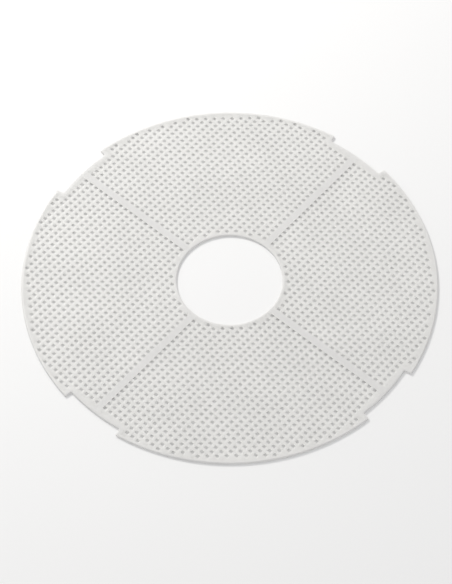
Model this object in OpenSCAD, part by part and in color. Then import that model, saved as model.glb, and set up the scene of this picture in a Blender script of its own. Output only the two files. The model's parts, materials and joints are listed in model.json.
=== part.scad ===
// Mesh screen for the tray of a round stacking food dehydrator.
//
// A thin, flexible, round sheet that lies on a tray and keeps small pieces of food from
// falling through. It has a plain outer rim with four notches, a plain rim around the hub
// opening, four plain strips that run from the hub rim to the notches, and between them
// four fields of mesh. A field is a plate, thinner than the rims, with rectangular holes
// in straight rows and columns. Every hole is whole: one that would run into a border is
// left out, which gives the borders their stepped inner edge.
//
// Millimetres. +Z is up, the sheet rests on Z = 0, and the origin is on the hub axis.

/* [Outline] */
// Radius of the sheet between its notches
outer_r = 171.5; // [160:0.5:180]
// Depth of each notch, measured in from the outer radius
notch_depth = 6.2; // [3:0.1:9]
// Width of each notch, as an angle at the hub axis
notch_angle = 18; // [10:1:24]

/* [Hub] */
// Radius of the opening that clears the tray's hub
hub_r = 43.6; // [38:0.1:50]
// Width of the plain rim around the hub opening
hub_band = 2.0; // [1.6:0.1:5]

/* [Borders] */
// Width of the plain band along the outer edge, between the notches
edge_band = 1.9; // [1.6:0.1:5]
// Width of the plain band along each notch
notch_band = 3.0; // [2:0.1:6]
// Width of the plain strips between the four fields of mesh
strip_w = 6; // [3:0.1:8]

/* [Mesh] */
// Spacing of the columns of holes, along X
pitch_x = 5.08; // [4:0.02:8]
// Spacing of the rows of holes, along Y
pitch_y = 5.64; // [4:0.02:8]
// Width of the ribs between the holes
rib_w = 2.8; // [1.5:0.1:3]

/* [Thickness] */
// Thickness of the rims and strips
border_t = 2; // [1.6:0.1:3]
// Thickness of the mesh
mesh_t = 1.2; // [0.8:0.1:1.6]

/* [Hidden] */
$fn = 180;

rim_color = [0.90, 0.90, 0.87];
strip_color = [0.86, 0.87, 0.84];
mesh_color = [0.95, 0.95, 0.92];

// Radii of the outline and of the field that the mesh fills
notch_r = outer_r - notch_depth;
field_r = outer_r - edge_band;
notch_field_r = notch_r - notch_band;
hub_field_r = hub_r + hub_band;

// Half angles of a notch, at the edge and at the inner side of its border
notch_half = notch_angle / 2;
notch_field_half = notch_half + asin(notch_band / notch_r);

// Underside of the mesh, clear of the tray. Its top is level with the rims.
mesh_z = border_t - mesh_t;

// Size of one hole, and how many rows and columns could fit in a quarter of the sheet
hole_x = pitch_x - rib_w;
hole_y = pitch_y - rib_w;
columns = floor(outer_r / pitch_x);
rows = floor(outer_r / pitch_y);

// Distance that a cutting shape runs past the face that it cuts
past = 1;

// Lowest X of hole column i and lowest Y of hole row j, in the north-east quarter
function column_x(i) = strip_w / 2 + i * pitch_x;
function row_y(j) = strip_w / 2 + j * pitch_y;

// Outer limit of the mesh in the direction a, an angle from 0 to 90
function limit_r(a) = min(a, 90 - a) < notch_field_half ? notch_field_r : field_r;

// Whether a point of the north-east quarter lies inside the field of mesh
function in_field(x, y) =
    let (r = norm([x, y]))
    r >= hub_field_r && r <= limit_r(atan2(y, x));

// Whether the whole of hole i, j lies inside the field of mesh
function hole_fits(i, j) =
    let (x = column_x(i), y = row_y(j))
    in_field(x, y) && in_field(x + hole_x, y)
    && in_field(x, y + hole_y) && in_field(x + hole_x, y + hole_y);

// A round plate from height z, t thick
module disc(r, z, t) {
    translate([0, 0, z]) cylinder(r = r, h = t);
}

// A wedge from the hub axis to past the edge, centred on +X
module wedge(half, z, t) {
    reach = outer_r + notch_depth;
    translate([0, 0, z])
        linear_extrude(height = t)
            polygon([[0, 0], [reach, -reach * tan(half)], [reach, reach * tan(half)]]);
}

// A round plate with the four notches cut into its edge
module notched_disc(r, notch_radius, half, z, t) {
    difference() {
        disc(r, z, t);
        for (a = [0 : 90 : 270]) {
            rotate([0, 0, a])
                difference() {
                    wedge(half, z - past, t + 2 * past);
                    disc(notch_radius, z - 2 * past, t + 4 * past);
                }
        }
    }
}

// The field of mesh in the north-east quarter before its holes are cut, as a plain plate
module field_plate() {
    difference() {
        intersection() {
            notched_disc(field_r, notch_field_r, notch_field_half, mesh_z, mesh_t);
            translate([strip_w / 2, strip_w / 2, mesh_z]) cube([outer_r, outer_r, mesh_t]);
        }
        disc(hub_field_r, mesh_z - past, mesh_t + 2 * past);
    }
}

// The field of mesh in the north-east quarter
module mesh_field() {
    color(mesh_color)
        difference() {
            field_plate();
            for (i = [0 : columns - 1], j = [0 : rows - 1]) {
                if (hole_fits(i, j))
                    translate([column_x(i), row_y(j), mesh_z - past])
                        cube([hole_x, hole_y, mesh_t + 2 * past]);
            }
        }
}

// Plain strip from the hub rim to the outer rim, along +X
module strip() {
    color(strip_color)
        difference() {
            intersection() {
                disc(notch_field_r, 0, border_t);
                translate([0, -strip_w / 2, 0]) cube([outer_r, strip_w, border_t]);
            }
            disc(hub_field_r, -past, border_t + 2 * past);
        }
}

// Plain outer rim with its four notches
module outer_rim() {
    color(rim_color)
        difference() {
            notched_disc(outer_r, notch_r, notch_half, 0, border_t);
            notched_disc(field_r, notch_field_r, notch_field_half, -past, border_t + 2 * past);
        }
}

// Plain rim around the hub opening
module hub_rim() {
    color(rim_color)
        difference() {
            disc(hub_field_r, 0, border_t);
            disc(hub_r, -past, border_t + 2 * past);
        }
}

outer_rim();
hub_rim();
strip();  // strip_east
rotate([0, 0, 90]) strip();  // strip_north
rotate([0, 0, 180]) strip();  // strip_west
rotate([0, 0, 270]) strip();  // strip_south
mesh_field();  // mesh_ne
mirror([1, 0, 0]) mesh_field();  // mesh_nw
rotate([0, 0, 180]) mesh_field();  // mesh_sw
mirror([0, 1, 0]) mesh_field();  // mesh_se
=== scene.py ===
"""Mesh screen of a round food dehydrator: the look of the sheet, built around its CAD frame."""
import json
import math

import bpy
from mathutils import Matrix, Vector
from mathutils.geometry import delaunay_2d_cdt


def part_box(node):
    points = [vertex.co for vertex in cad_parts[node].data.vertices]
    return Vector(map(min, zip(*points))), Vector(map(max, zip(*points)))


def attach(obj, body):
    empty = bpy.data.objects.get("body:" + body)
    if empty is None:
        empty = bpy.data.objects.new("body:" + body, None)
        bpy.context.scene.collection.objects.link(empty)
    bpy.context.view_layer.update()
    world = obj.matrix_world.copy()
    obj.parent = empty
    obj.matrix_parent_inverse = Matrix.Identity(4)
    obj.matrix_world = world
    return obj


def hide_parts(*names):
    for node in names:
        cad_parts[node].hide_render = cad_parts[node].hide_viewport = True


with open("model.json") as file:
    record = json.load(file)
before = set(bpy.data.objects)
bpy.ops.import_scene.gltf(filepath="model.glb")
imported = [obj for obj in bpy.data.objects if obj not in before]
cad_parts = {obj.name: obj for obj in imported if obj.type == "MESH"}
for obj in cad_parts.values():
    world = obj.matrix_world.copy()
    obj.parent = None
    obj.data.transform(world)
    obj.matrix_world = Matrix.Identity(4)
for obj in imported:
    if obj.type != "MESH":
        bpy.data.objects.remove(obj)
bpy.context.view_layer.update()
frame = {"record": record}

MM = 0.001
ROOT = "root"

# ---------------------------------------------------------------- dimensions, in millimetres
# The frame gives the heights, the rims and the strips. What it doesn't give is named here.
NOTCH_HALF = math.radians(9)  # half of a notch's width, as an angle at the hub axis
EDGE_BAND, NOTCH_BAND = 1.9, 3.0  # the outer rim's width, between the notches and along them
PITCH_X, PITCH_Y, RIB_W = 5.08, 5.64, 2.8  # spacing of the holes, and width of the ribs
CORNER_R = 1.4  # corners of the notches
BAND_CORNER_R = 1.2  # inner corners of the band round the notches
HOLE_CORNER_R = 0.6  # corners of the mesh holes
FIELD_CORNER_R = 2.0  # corners of a field of mesh beside the notches
RIM_ROUND, RIM_FOOT = 0.9, 0.2  # rounded edges of the rims, on top and underneath
RIB_ROUND = 0.25  # rounded edges of the ribs
RIB_CROWN = 0.20  # how much lower a rib is along its edges than along its middle
CROSSING_DIP = 0.36  # how much lower the ribs are where they cross than between crossings
TUCK = 0.4  # how far a field of mesh runs into the rims and strips around it
SKIN = 0.01  # how far the mesh lies below the rims' top, so that no two faces share a plane

# Steps of the round stretches
ARC_STEP = math.radians(1)  # along the arcs about the hub axis
OUTLINE_CORNER_STEPS = 4  # round each corner of an outline
HOLE_CORNER_STEPS = 2  # round each corner of a mesh hole
RIB_STEPS, RIM_STEPS = 2, 5  # across each rounded edge


def box_mm(node):
    """A node's lowest and highest corners in millimetres."""
    low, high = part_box(node)
    return Vector(low) / MM, Vector(high) / MM


rim_low, rim_high = box_mm("outer_rim")
hub_low, hub_high = box_mm("hub_rim")
strip_low, strip_high = box_mm("strip_east")
mesh_low, mesh_high = box_mm("mesh_ne")

# Radii of the outline and of the field that the mesh fills, and the size of one hole
OUTER_R = rim_high.x / math.cos(NOTCH_HALF)
HUB_FIELD_R = hub_high.x
HUB_R = next(m for m in frame["record"]["mounts"] if m["name"] == "hub")["dims"]["r_mm"]
NOTCH_FIELD_R = strip_high.x
STRIP_W = strip_high.y - strip_low.y
NOTCH_R = NOTCH_FIELD_R + NOTCH_BAND
FIELD_R = OUTER_R - EDGE_BAND
NOTCH_FIELD_HALF = NOTCH_HALF + math.asin(NOTCH_BAND / NOTCH_R)
HOLE_X, HOLE_Y = PITCH_X - RIB_W, PITCH_Y - RIB_W
COLUMNS, ROWS = int(OUTER_R / PITCH_X), int(OUTER_R / PITCH_Y)


# ---------------------------------------------------------------- outlines
def polar(radius, angle):
    """A point by its distance from the hub axis and its angle from +X."""
    return Vector((radius * math.cos(angle), radius * math.sin(angle)))


def arc(radius, start, end):
    """Points along an arc about the hub axis, both ends included."""
    count = round(abs(end - start) / ARC_STEP)
    return [polar(radius, start + (end - start) * k / count) for k in range(count + 1)]


def round_corner(before, corner, after, radius, count=OUTLINE_CORNER_STEPS):
    """Points of a smooth curve that cuts a corner off, from radius before it to radius after."""
    start = corner + (before - corner).normalized() * radius
    end = corner + (after - corner).normalized() * radius
    points = []
    for k in range(count + 1):
        t = k / count
        points.append(start * (1 - t) ** 2 + corner * 2 * t * (1 - t) + end * t**2)
    return points


def notched_outline(radius, notch_radius, half, corner_r):
    """The sheet's outline, anticlockwise: four lugs with a notch centred on each axis."""
    points = []
    for quarter in range(4):
        base = quarter * math.pi / 2
        start, end = base + half, base + math.pi / 2 - half
        trim = corner_r / radius
        foot_start, head_start = polar(notch_radius, start), polar(radius, start)
        head_end, foot_end = polar(radius, end), polar(notch_radius, end)
        points += round_corner(polar(notch_radius, start - trim), foot_start, head_start, corner_r)
        points += round_corner(foot_start, head_start, polar(radius, start + trim), corner_r)
        points += arc(radius, start + 2 * trim, end - 2 * trim)
        points += round_corner(polar(radius, end - trim), head_end, foot_end, corner_r)
        points += round_corner(head_end, foot_end, polar(notch_radius, end + trim), corner_r)
        points += arc(notch_radius, end + 2 * trim, end + 2 * half - 2 * trim)
    return points


def circle(radius):
    return arc(radius, 0, 2 * math.pi)[:-1]


def hole_outline(x, y):
    """A mesh hole with rounded corners, anticlockwise, its lower left corner at x, y."""
    sides = ((0, 0), (HOLE_X, 0), (HOLE_X, HOLE_Y), (0, HOLE_Y))
    corners = [Vector((x + right, y + up)) for right, up in sides]
    points = []
    for k in range(4):
        before, after = corners[k - 1], corners[(k + 1) % 4]
        points += round_corner(before, corners[k], after, HOLE_CORNER_R, HOLE_CORNER_STEPS)
    return points


# ---------------------------------------------------------------- solids
SMOOTH_UNDER = math.radians(50)  # faces that meet at less than this are shaded as one surface
CDT_INSIDE_WITH_HOLES = 2  # the triangulation's mode that leaves holes open
CDT_EPSILON = 1e-5  # points closer than this count as one


def shifted(loop, distance):
    """A closed loop moved to its left, into the solid, by a distance."""
    moved = []
    for k, point in enumerate(loop):
        before = (point - loop[k - 1]).normalized()
        after = (loop[(k + 1) % len(loop)] - point).normalized()
        left = Vector((-before.y - after.y, before.x + after.x))
        left.normalize()
        cosine = left.dot(Vector((-before.y, before.x)))
        moved.append(point + left * distance / cosine)
    return moved


def rounding(radius, steps):
    """How far in and how far down an edge's rounding runs, from its flat face to its wall."""
    turns = [math.pi / 2 * k / steps for k in range(steps + 1)] if radius else [0.0]
    return [(radius * (1 - math.sin(turn)), radius * (1 - math.cos(turn))) for turn in turns]


class Solid:
    """Vertices in millimetres and faces of one closed mesh."""

    def __init__(self):
        self.verts, self.faces = [], []

    def add_wall(self, loop, low, high, top_round=0.0, foot_round=0.0, steps=1):
        """The wall round a loop, the solid on its left. Gives its top and bottom rings."""
        rings = [(inset, high - drop) for inset, drop in rounding(top_round, steps)]
        rings += [(inset, low + drop) for inset, drop in reversed(rounding(foot_round, steps))]
        size, first = len(loop), len(self.verts)
        for inset, z in rings:
            self.verts += [(p.x, p.y, z) for p in shifted(loop, inset)]
        for r in range(len(rings) - 1):
            for k in range(size):
                a, b = first + r * size + k, first + r * size + (k + 1) % size
                self.faces.append((a, a + size, b + size, b))
        last = first + (len(rings) - 1) * size
        return list(range(first, first + size)), list(range(last, last + size))

    def add_face(self, face, top):
        """A face whose points run anticlockwise as seen from above, on top or underneath."""
        self.faces.append(tuple(face) if top else tuple(reversed(face)))

    def add_cap(self, loops, top):
        """Flat faces inside the first loop of vertices and outside the others."""
        index, borders = [], []
        for loop in loops:
            borders.append(list(range(len(index), len(index) + len(loop))))
            index += loop
        points = [Vector(self.verts[v][:2]) for v in index]
        out = delaunay_2d_cdt(points, [], borders, CDT_INSIDE_WITH_HOLES, CDT_EPSILON)
        source = [index[origin[0]] for origin in out[3]]
        for triangle in out[2]:
            self.add_face([source[k] for k in triangle], top)

    def make(self, name, sx=1, sy=1):
        """The Blender object in metres, mirrored about X or Y where sx or sy is -1."""
        verts = [(x * sx * MM, y * sy * MM, z * MM) for x, y, z in self.verts]
        faces = self.faces if sx * sy > 0 else [face[::-1] for face in self.faces]
        mesh = bpy.data.meshes.new(name)
        mesh.from_pydata(verts, [], faces)
        mesh.validate()
        mesh.polygons.foreach_set("use_smooth", [True] * len(mesh.polygons))
        mesh.set_sharp_from_angle(angle=SMOOTH_UNDER)
        piece = bpy.data.objects.new(name, mesh)
        bpy.context.collection.objects.link(piece)
        return piece


def plate(name, outer, holes, low, high, outer_rounds=(), hole_rounds=()):
    """A flat plate with a few holes, its edges rounded where their roundings are given."""
    solid = Solid()
    walls = [solid.add_wall(outer, low, high, *outer_rounds)]
    walls += [solid.add_wall(hole[::-1], low, high, *hole_rounds) for hole in holes]
    for side, top in enumerate((True, False)):
        solid.add_cap([wall[side] for wall in walls], top)
    return solid.make(name)


# ---------------------------------------------------------------- mesh fields
DRAW_IN_STEPS = 40  # steps in which a cell's corner that lies outside the field is drawn in


def column_x(i):
    """Lowest X of the holes in column i of the north-east quarter."""
    return STRIP_W / 2 + i * PITCH_X


def row_y(j):
    """Lowest Y of the holes in row j of the north-east quarter."""
    return STRIP_W / 2 + j * PITCH_Y


def in_field(x, y, spare=0.0):
    """Whether a point of the north-east quarter lies in the field, or within spare of it."""
    radius, angle = math.hypot(x, y), math.atan2(y, x)
    near_axis = min(angle, math.pi / 2 - angle) < NOTCH_FIELD_HALF - spare / radius
    limit = NOTCH_FIELD_R if near_axis else FIELD_R
    return min(x, y) >= STRIP_W / 2 - spare and HUB_FIELD_R - spare <= radius <= limit + spare


def hole_fits(i, j):
    """Whether the whole of hole i, j lies inside the field of mesh."""
    x, y = column_x(i), row_y(j)
    return all(in_field(px, py) for px in (x, x + HOLE_X) for py in (y, y + HOLE_Y))


def field_outline():
    """The north-east field of mesh, anticlockwise, tucked a little into what surrounds it."""
    near = STRIP_W / 2 - TUCK
    hub, notch, lug = HUB_FIELD_R - TUCK, NOTCH_FIELD_R + TUCK, FIELD_R + TUCK
    half = NOTCH_FIELD_HALF - TUCK / NOTCH_FIELD_R
    cut = math.asin(FIELD_CORNER_R / notch)
    foot = round_corner(
        polar(notch, half - cut), polar(notch, half), polar(lug, half), FIELD_CORNER_R
    )
    points = arc(notch, math.asin(near / notch), half - 2 * cut) + foot
    points += arc(lug, half, math.pi / 2 - half)
    points += [point.yx for point in reversed(foot)]
    points += arc(notch, math.pi / 2 - half + 2 * cut, math.acos(near / notch))
    points += arc(hub, math.acos(near / hub), math.asin(near / hub))
    return points


def square(i, j):
    """The four corners of cell i, j, anticlockwise from its lower left."""
    return [(i, j), (i + 1, j), (i + 1, j + 1), (i, j + 1)]


def sides_of(loop):
    """The sides of a loop of cell corners, each as its start and its end."""
    return list(zip(loop, loop[1:] + loop[:1]))


def cell_corner(i, j, cells):
    """Where four ribs cross, below and left of hole i, j, drawn in where it leaves the field."""
    corner = Vector((column_x(i) - RIB_W / 2, row_y(j) - RIB_W / 2))
    around = [cell for cell in ((i, j), (i - 1, j), (i - 1, j - 1), (i, j - 1)) if cell in cells]
    middle = Vector((0, 0))
    for a, b in around:
        middle += Vector((column_x(a) + HOLE_X / 2, row_y(b) + HOLE_Y / 2)) / len(around)
    for step in range(DRAW_IN_STEPS):
        point = corner.lerp(middle, step / DRAW_IN_STEPS)
        if in_field(*point, TUCK / 2):
            return point
    raise ValueError(f"cell corner {i}, {j} lies outside the field")


def border_loops(cells):
    """The outline of a group of cells, as loops of cell corners."""
    sides = {side for cell in cells for side in sides_of(square(*cell))}
    follows = {start: end for start, end in sides if (end, start) not in sides}
    loops = []
    while follows:
        corner = min(follows)
        loops.append([])
        while corner in follows:
            loops[-1].append(corner)
            corner = follows.pop(corner)
    return loops


def with_middles(loop, corners, middles):
    """The vertices round a loop of cell corners, with the middle of each side between them."""
    around = []
    for start, end in sides_of(loop):
        around += [corners[start], middles[frozenset((start, end))]]
    return around


def add_rib_points(solid, cells, places, dips, z):
    """Adds the vertices where ribs cross, at z less their dips, and those halfway between."""
    corners, middles = {}, {}
    for corner in sorted(places):
        corners[corner] = len(solid.verts)
        solid.verts.append((*places[corner], z - dips.get(corner, 0)))
    for cell in sorted(cells):
        for start, end in sides_of(square(*cell)):
            if frozenset((start, end)) not in middles:
                middles[frozenset((start, end))] = len(solid.verts)
                solid.verts.append((*places[start].lerp(places[end], 0.5), z))
    return corners, middles


def mesh_field(low, high):
    """The north-east field: a plate with one hole in each cell where a whole one fits."""
    cells = {(i, j) for i in range(COLUMNS) for j in range(ROWS) if hole_fits(i, j)}
    solid = Solid()
    outline = solid.add_wall(field_outline(), low, high)
    holes = {}
    for i, j in sorted(cells):
        loop = hole_outline(column_x(i), row_y(j))[::-1]
        holes[i, j] = solid.add_wall(loop, low, high - RIB_CROWN, RIB_ROUND, RIB_ROUND, RIB_STEPS)
    loops = border_loops(cells)
    crossings = {corner for cell in cells for corner in square(*cell)}
    places = {corner: cell_corner(*corner, cells) for corner in crossings}
    top_dips = dict.fromkeys(crossings.difference(*loops), CROSSING_DIP)
    for side, (top, z, dips) in enumerate(((True, high, top_dips), (False, low, {}))):
        corners, middles = add_rib_points(solid, cells, places, dips, z)
        caps = [with_middles(loop, corners, middles) for loop in loops]
        solid.add_cap([outline[side]] + caps, top)
        for cell, hole in holes.items():
            add_cell(solid, with_middles(square(*cell), corners, middles), hole[side][::-1], top)
    return solid


def add_cell(solid, around, hole, top):
    """The faces between a cell's edge and its hole, both anticlockwise from lower left."""
    per_corner = HOLE_CORNER_STEPS + 1
    for k in range(4):
        start, middle, end = (around[(2 * k + step) % len(around)] for step in range(3))
        first = k * per_corner + HOLE_CORNER_STEPS // 2
        near_side = [hole[(first + step) % len(hole)] for step in range(per_corner + 1)]
        half = len(near_side) // 2
        solid.add_face([start, middle, *reversed(near_side[:half])], top)
        solid.add_face([middle, end, *reversed(near_side[half:])], top)
        solid.add_face([middle, near_side[half], near_side[half - 1]], top)


# ---------------------------------------------------------------- materials
CLOUDS = {"Scale": 22.0, "Detail": 5.0, "Roughness": 0.6}  # noise that clouds the colour
GRAIN = {"Scale": 900.0, "Detail": 4.0, "Roughness": 0.55}  # noise of the mould texture
NOISE_LOW, NOISE_HIGH = 0.3, 0.7  # the part of a noise that is used
SMOOTHEST, ROUGHEST = 0.28, 0.42  # the plastic's roughness, which follows the grain
GRAIN_BUMP, GRAIN_DEPTH = 0.5, 0.0002  # strength of the grain, and its depth in metres
PLASTIC_IOR, PLASTIC_SPECULAR = 1.49, 0.5
TABLE_COLOUR, TABLE_ROUGHNESS, TABLE_SPECULAR = (0.875, 0.875, 0.875), 0.7, 0.2


def add_node(tree, kind, **values):
    """A shader node with its settings and its inputs' values, where a _ stands for a space."""
    made = tree.nodes.new(kind)
    for key, value in values.items():
        if hasattr(made, key):
            setattr(made, key, value)
        else:
            made.inputs[key.replace("_", " ")].default_value = value
    return made


def spread_out(tree, noise, low, high):
    """The socket that gives the middle part of a noise, spread out from low to high."""
    spread = add_node(
        tree, "ShaderNodeMapRange", From_Min=NOISE_LOW, From_Max=NOISE_HIGH, To_Min=low, To_Max=high
    )
    tree.links.new(noise.outputs["Fac"], spread.inputs["Value"])
    return spread.outputs["Result"]


def milky_plastic(name, pale, dark, see_through, translucency):
    """Milky polypropylene: cloudy colour, fine mould texture and light that soaks through."""
    material = bpy.data.materials.new(name)
    material.use_nodes = True
    tree = material.node_tree
    tree.nodes.clear()
    link = tree.links.new
    coords = add_node(tree, "ShaderNodeTexCoord")
    clouds = add_node(tree, "ShaderNodeTexNoise", **CLOUDS)
    link(coords.outputs["Object"], clouds.inputs["Vector"])
    tint = add_node(tree, "ShaderNodeMix", data_type="RGBA")
    tint.inputs["A"].default_value = (*dark, 1)
    tint.inputs["B"].default_value = (*pale, 1)
    link(spread_out(tree, clouds, 0.0, 1.0), tint.inputs["Factor"])

    grain = add_node(tree, "ShaderNodeTexNoise", **GRAIN)
    link(coords.outputs["Object"], grain.inputs["Vector"])
    bump = add_node(tree, "ShaderNodeBump", Strength=GRAIN_BUMP, Distance=GRAIN_DEPTH)
    link(grain.outputs["Fac"], bump.inputs["Height"])

    surface = add_node(tree, "ShaderNodeBsdfPrincipled", IOR=PLASTIC_IOR)
    surface.inputs["Specular IOR Level"].default_value = PLASTIC_SPECULAR
    link(tint.outputs["Result"], surface.inputs["Base Color"])
    link(spread_out(tree, grain, SMOOTHEST, ROUGHEST), surface.inputs["Roughness"])
    link(bump.outputs["Normal"], surface.inputs["Normal"])
    glow = add_node(tree, "ShaderNodeBsdfTranslucent")
    link(tint.outputs["Result"], glow.inputs["Color"])
    link(bump.outputs["Normal"], glow.inputs["Normal"])
    clear = add_node(tree, "ShaderNodeBsdfTransparent")
    soaked = add_node(tree, "ShaderNodeMixShader", Fac=translucency)
    link(surface.outputs[0], soaked.inputs[1])
    link(glow.outputs[0], soaked.inputs[2])
    seen = add_node(tree, "ShaderNodeMixShader", Fac=see_through)
    link(soaked.outputs[0], seen.inputs[1])
    link(clear.outputs[0], seen.inputs[2])
    output = add_node(tree, "ShaderNodeOutputMaterial")
    link(seen.outputs[0], output.inputs["Surface"])
    return material


def table_surface():
    """Plain white table top."""
    material = bpy.data.materials.new("table")
    material.use_nodes = True
    surface = material.node_tree.nodes["Principled BSDF"]
    surface.inputs["Base Color"].default_value = (*TABLE_COLOUR, 1)
    surface.inputs["Roughness"].default_value = TABLE_ROUGHNESS
    surface.inputs["Specular IOR Level"].default_value = TABLE_SPECULAR
    return material


rim_look = milky_plastic(
    "rim_plastic_look", pale=(0.975, 0.97, 0.958), dark=(0.93, 0.925, 0.912),
    see_through=0.16, translucency=0.22,
)
mesh_look = milky_plastic(
    "mesh_plastic_look", pale=(0.965, 0.962, 0.95), dark=(0.925, 0.922, 0.91),
    see_through=0.12, translucency=0.42,
)


def finish_piece(piece, look, slot, *nodes):
    piece.data.materials.append(look)
    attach(piece, ROOT)
    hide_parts(*nodes)


# ---------------------------------------------------------------- pieces
# The quarters of the sheet, each with the signs of its X and Y
QUARTERS = {"ne": (1, 1), "nw": (-1, 1), "sw": (-1, -1), "se": (1, -1)}


def make_rims():
    """The plain bands round the outer edge and round the hub opening."""
    outer = plate(
        "outer_rim_border",
        notched_outline(OUTER_R, NOTCH_R, NOTCH_HALF, CORNER_R),
        [notched_outline(FIELD_R, NOTCH_FIELD_R, NOTCH_FIELD_HALF, BAND_CORNER_R)],
        rim_low.z, rim_high.z, outer_rounds=(RIM_ROUND, RIM_FOOT, RIM_STEPS),
    )
    finish_piece(outer, rim_look, "rim_plastic", "outer_rim")
    hub = plate(
        "hub_rim_border", circle(HUB_FIELD_R), [circle(HUB_R)],
        hub_low.z, hub_high.z, hole_rounds=(RIM_ROUND, RIM_FOOT, RIM_STEPS),
    )
    finish_piece(hub, rim_look, "rim_plastic", "hub_rim")


def make_strips():
    """The four plain strips from the hub rim to the notches."""
    half = STRIP_W / 2
    near = arc(HUB_FIELD_R, math.asin(half / HUB_FIELD_R), -math.asin(half / HUB_FIELD_R))
    far = arc(NOTCH_FIELD_R, -math.asin(half / NOTCH_FIELD_R), math.asin(half / NOTCH_FIELD_R))
    for quarter, side in enumerate(("east", "north", "west", "south")):
        turn = Matrix.Rotation(quarter * math.pi / 2, 2)
        loop = [turn @ p for p in near + far]
        strip = plate(f"strip_{side}_band", loop, [], strip_low.z, strip_high.z)
        finish_piece(strip, rim_look, "rim_plastic", f"strip_{side}")


def make_mesh():
    """The four fields of mesh: one field and its mirror images."""
    field = mesh_field(mesh_low.z, mesh_high.z - SKIN)
    for quarter, (sx, sy) in QUARTERS.items():
        piece = field.make(f"mesh_field_{quarter}", sx, sy)
        finish_piece(piece, mesh_look, "mesh_plastic", f"mesh_{quarter}")


make_rims()
make_strips()
make_mesh()

# ---------------------------------------------------------------- table, light and camera
VIEW_TURN = math.radians(48.9)  # how far the sheet lies turned on the table, as the camera sees it
TABLE_REACH = 6.0  # from the sheet's middle to the table's sides, in metres
SENSOR_W, LENS = 36.0, 182.7  # in millimetres
CAMERA_ELEVATION, CAMERA_DISTANCE = 57.3, 1.8907  # in degrees and metres
CAMERA_AIM = Vector((-0.0030, -0.0112, 0))  # the point of the table that it looks at, as seen
CAMERA_ROLL = math.radians(-0.47)
to_frame = Matrix.Rotation(-VIEW_TURN, 3, "Z")


def from_view(azimuth, elevation, distance):
    """A point by its direction as seen by the viewer: 0 is to the right, 90 is away."""
    azimuth, elevation = math.radians(azimuth), math.radians(elevation)
    flat = math.cos(elevation)
    return to_frame @ Vector(
        (flat * math.cos(azimuth) * distance, flat * math.sin(azimuth) * distance,
         math.sin(elevation) * distance)
    )


def add_table():
    """A plain table top under the sheet, which isn't part of the object."""
    mesh = bpy.data.meshes.new("table_top")
    signs = ((-1, -1), (1, -1), (1, 1), (-1, 1))
    verts = [(sx * TABLE_REACH, sy * TABLE_REACH, 0) for sx, sy in signs]
    mesh.from_pydata(verts, [], [(0, 1, 2, 3)])
    table = bpy.data.objects.new("table_top", mesh)
    bpy.context.collection.objects.link(table)
    mesh.materials.append(table_surface())


def add_light(name, azimuth, elevation, distance, size, power, colour):
    """A round lamp that points at the middle of the sheet."""
    data = bpy.data.lights.new(name, "AREA")
    data.shape = "DISK"
    data.size = size
    data.energy = power
    data.color = colour
    lamp = bpy.data.objects.new(name, data)
    bpy.context.collection.objects.link(lamp)
    lamp.location = from_view(azimuth, elevation, distance)
    lamp.rotation_euler = (-lamp.location).to_track_quat("-Z", "Y").to_euler()


def add_camera():
    """The camera, which looks down on the sheet from its near side."""
    data = bpy.data.cameras.new("camera")
    data.sensor_fit = "HORIZONTAL"
    data.sensor_width = SENSOR_W
    data.lens = LENS
    camera = bpy.data.objects.new("camera", data)
    bpy.context.collection.objects.link(camera)
    camera.location = from_view(-90, CAMERA_ELEVATION, CAMERA_DISTANCE)
    look = to_frame @ CAMERA_AIM - camera.location
    roll = Matrix.Rotation(CAMERA_ROLL, 3, "Z")
    camera.rotation_euler = (look.to_track_quat("-Z", "Y").to_matrix() @ roll).to_euler()
    bpy.context.scene.camera = camera


def set_world(strength, colour):
    """Even light from all round."""
    world = bpy.data.worlds.new("studio")
    world.use_nodes = True
    back = world.node_tree.nodes["Background"]
    back.inputs["Color"].default_value = (*colour, 1)
    back.inputs["Strength"].default_value = strength
    bpy.context.scene.world = world


add_table()
add_light(
    "key", azimuth=124.0, elevation=38.0, distance=1.6, size=0.37, power=14.6,
    colour=(1.0, 0.985, 0.955),
)
set_world(strength=0.735, colour=(0.98, 0.98, 0.985))
add_camera()
bpy.context.scene.view_settings.view_transform = "Standard"
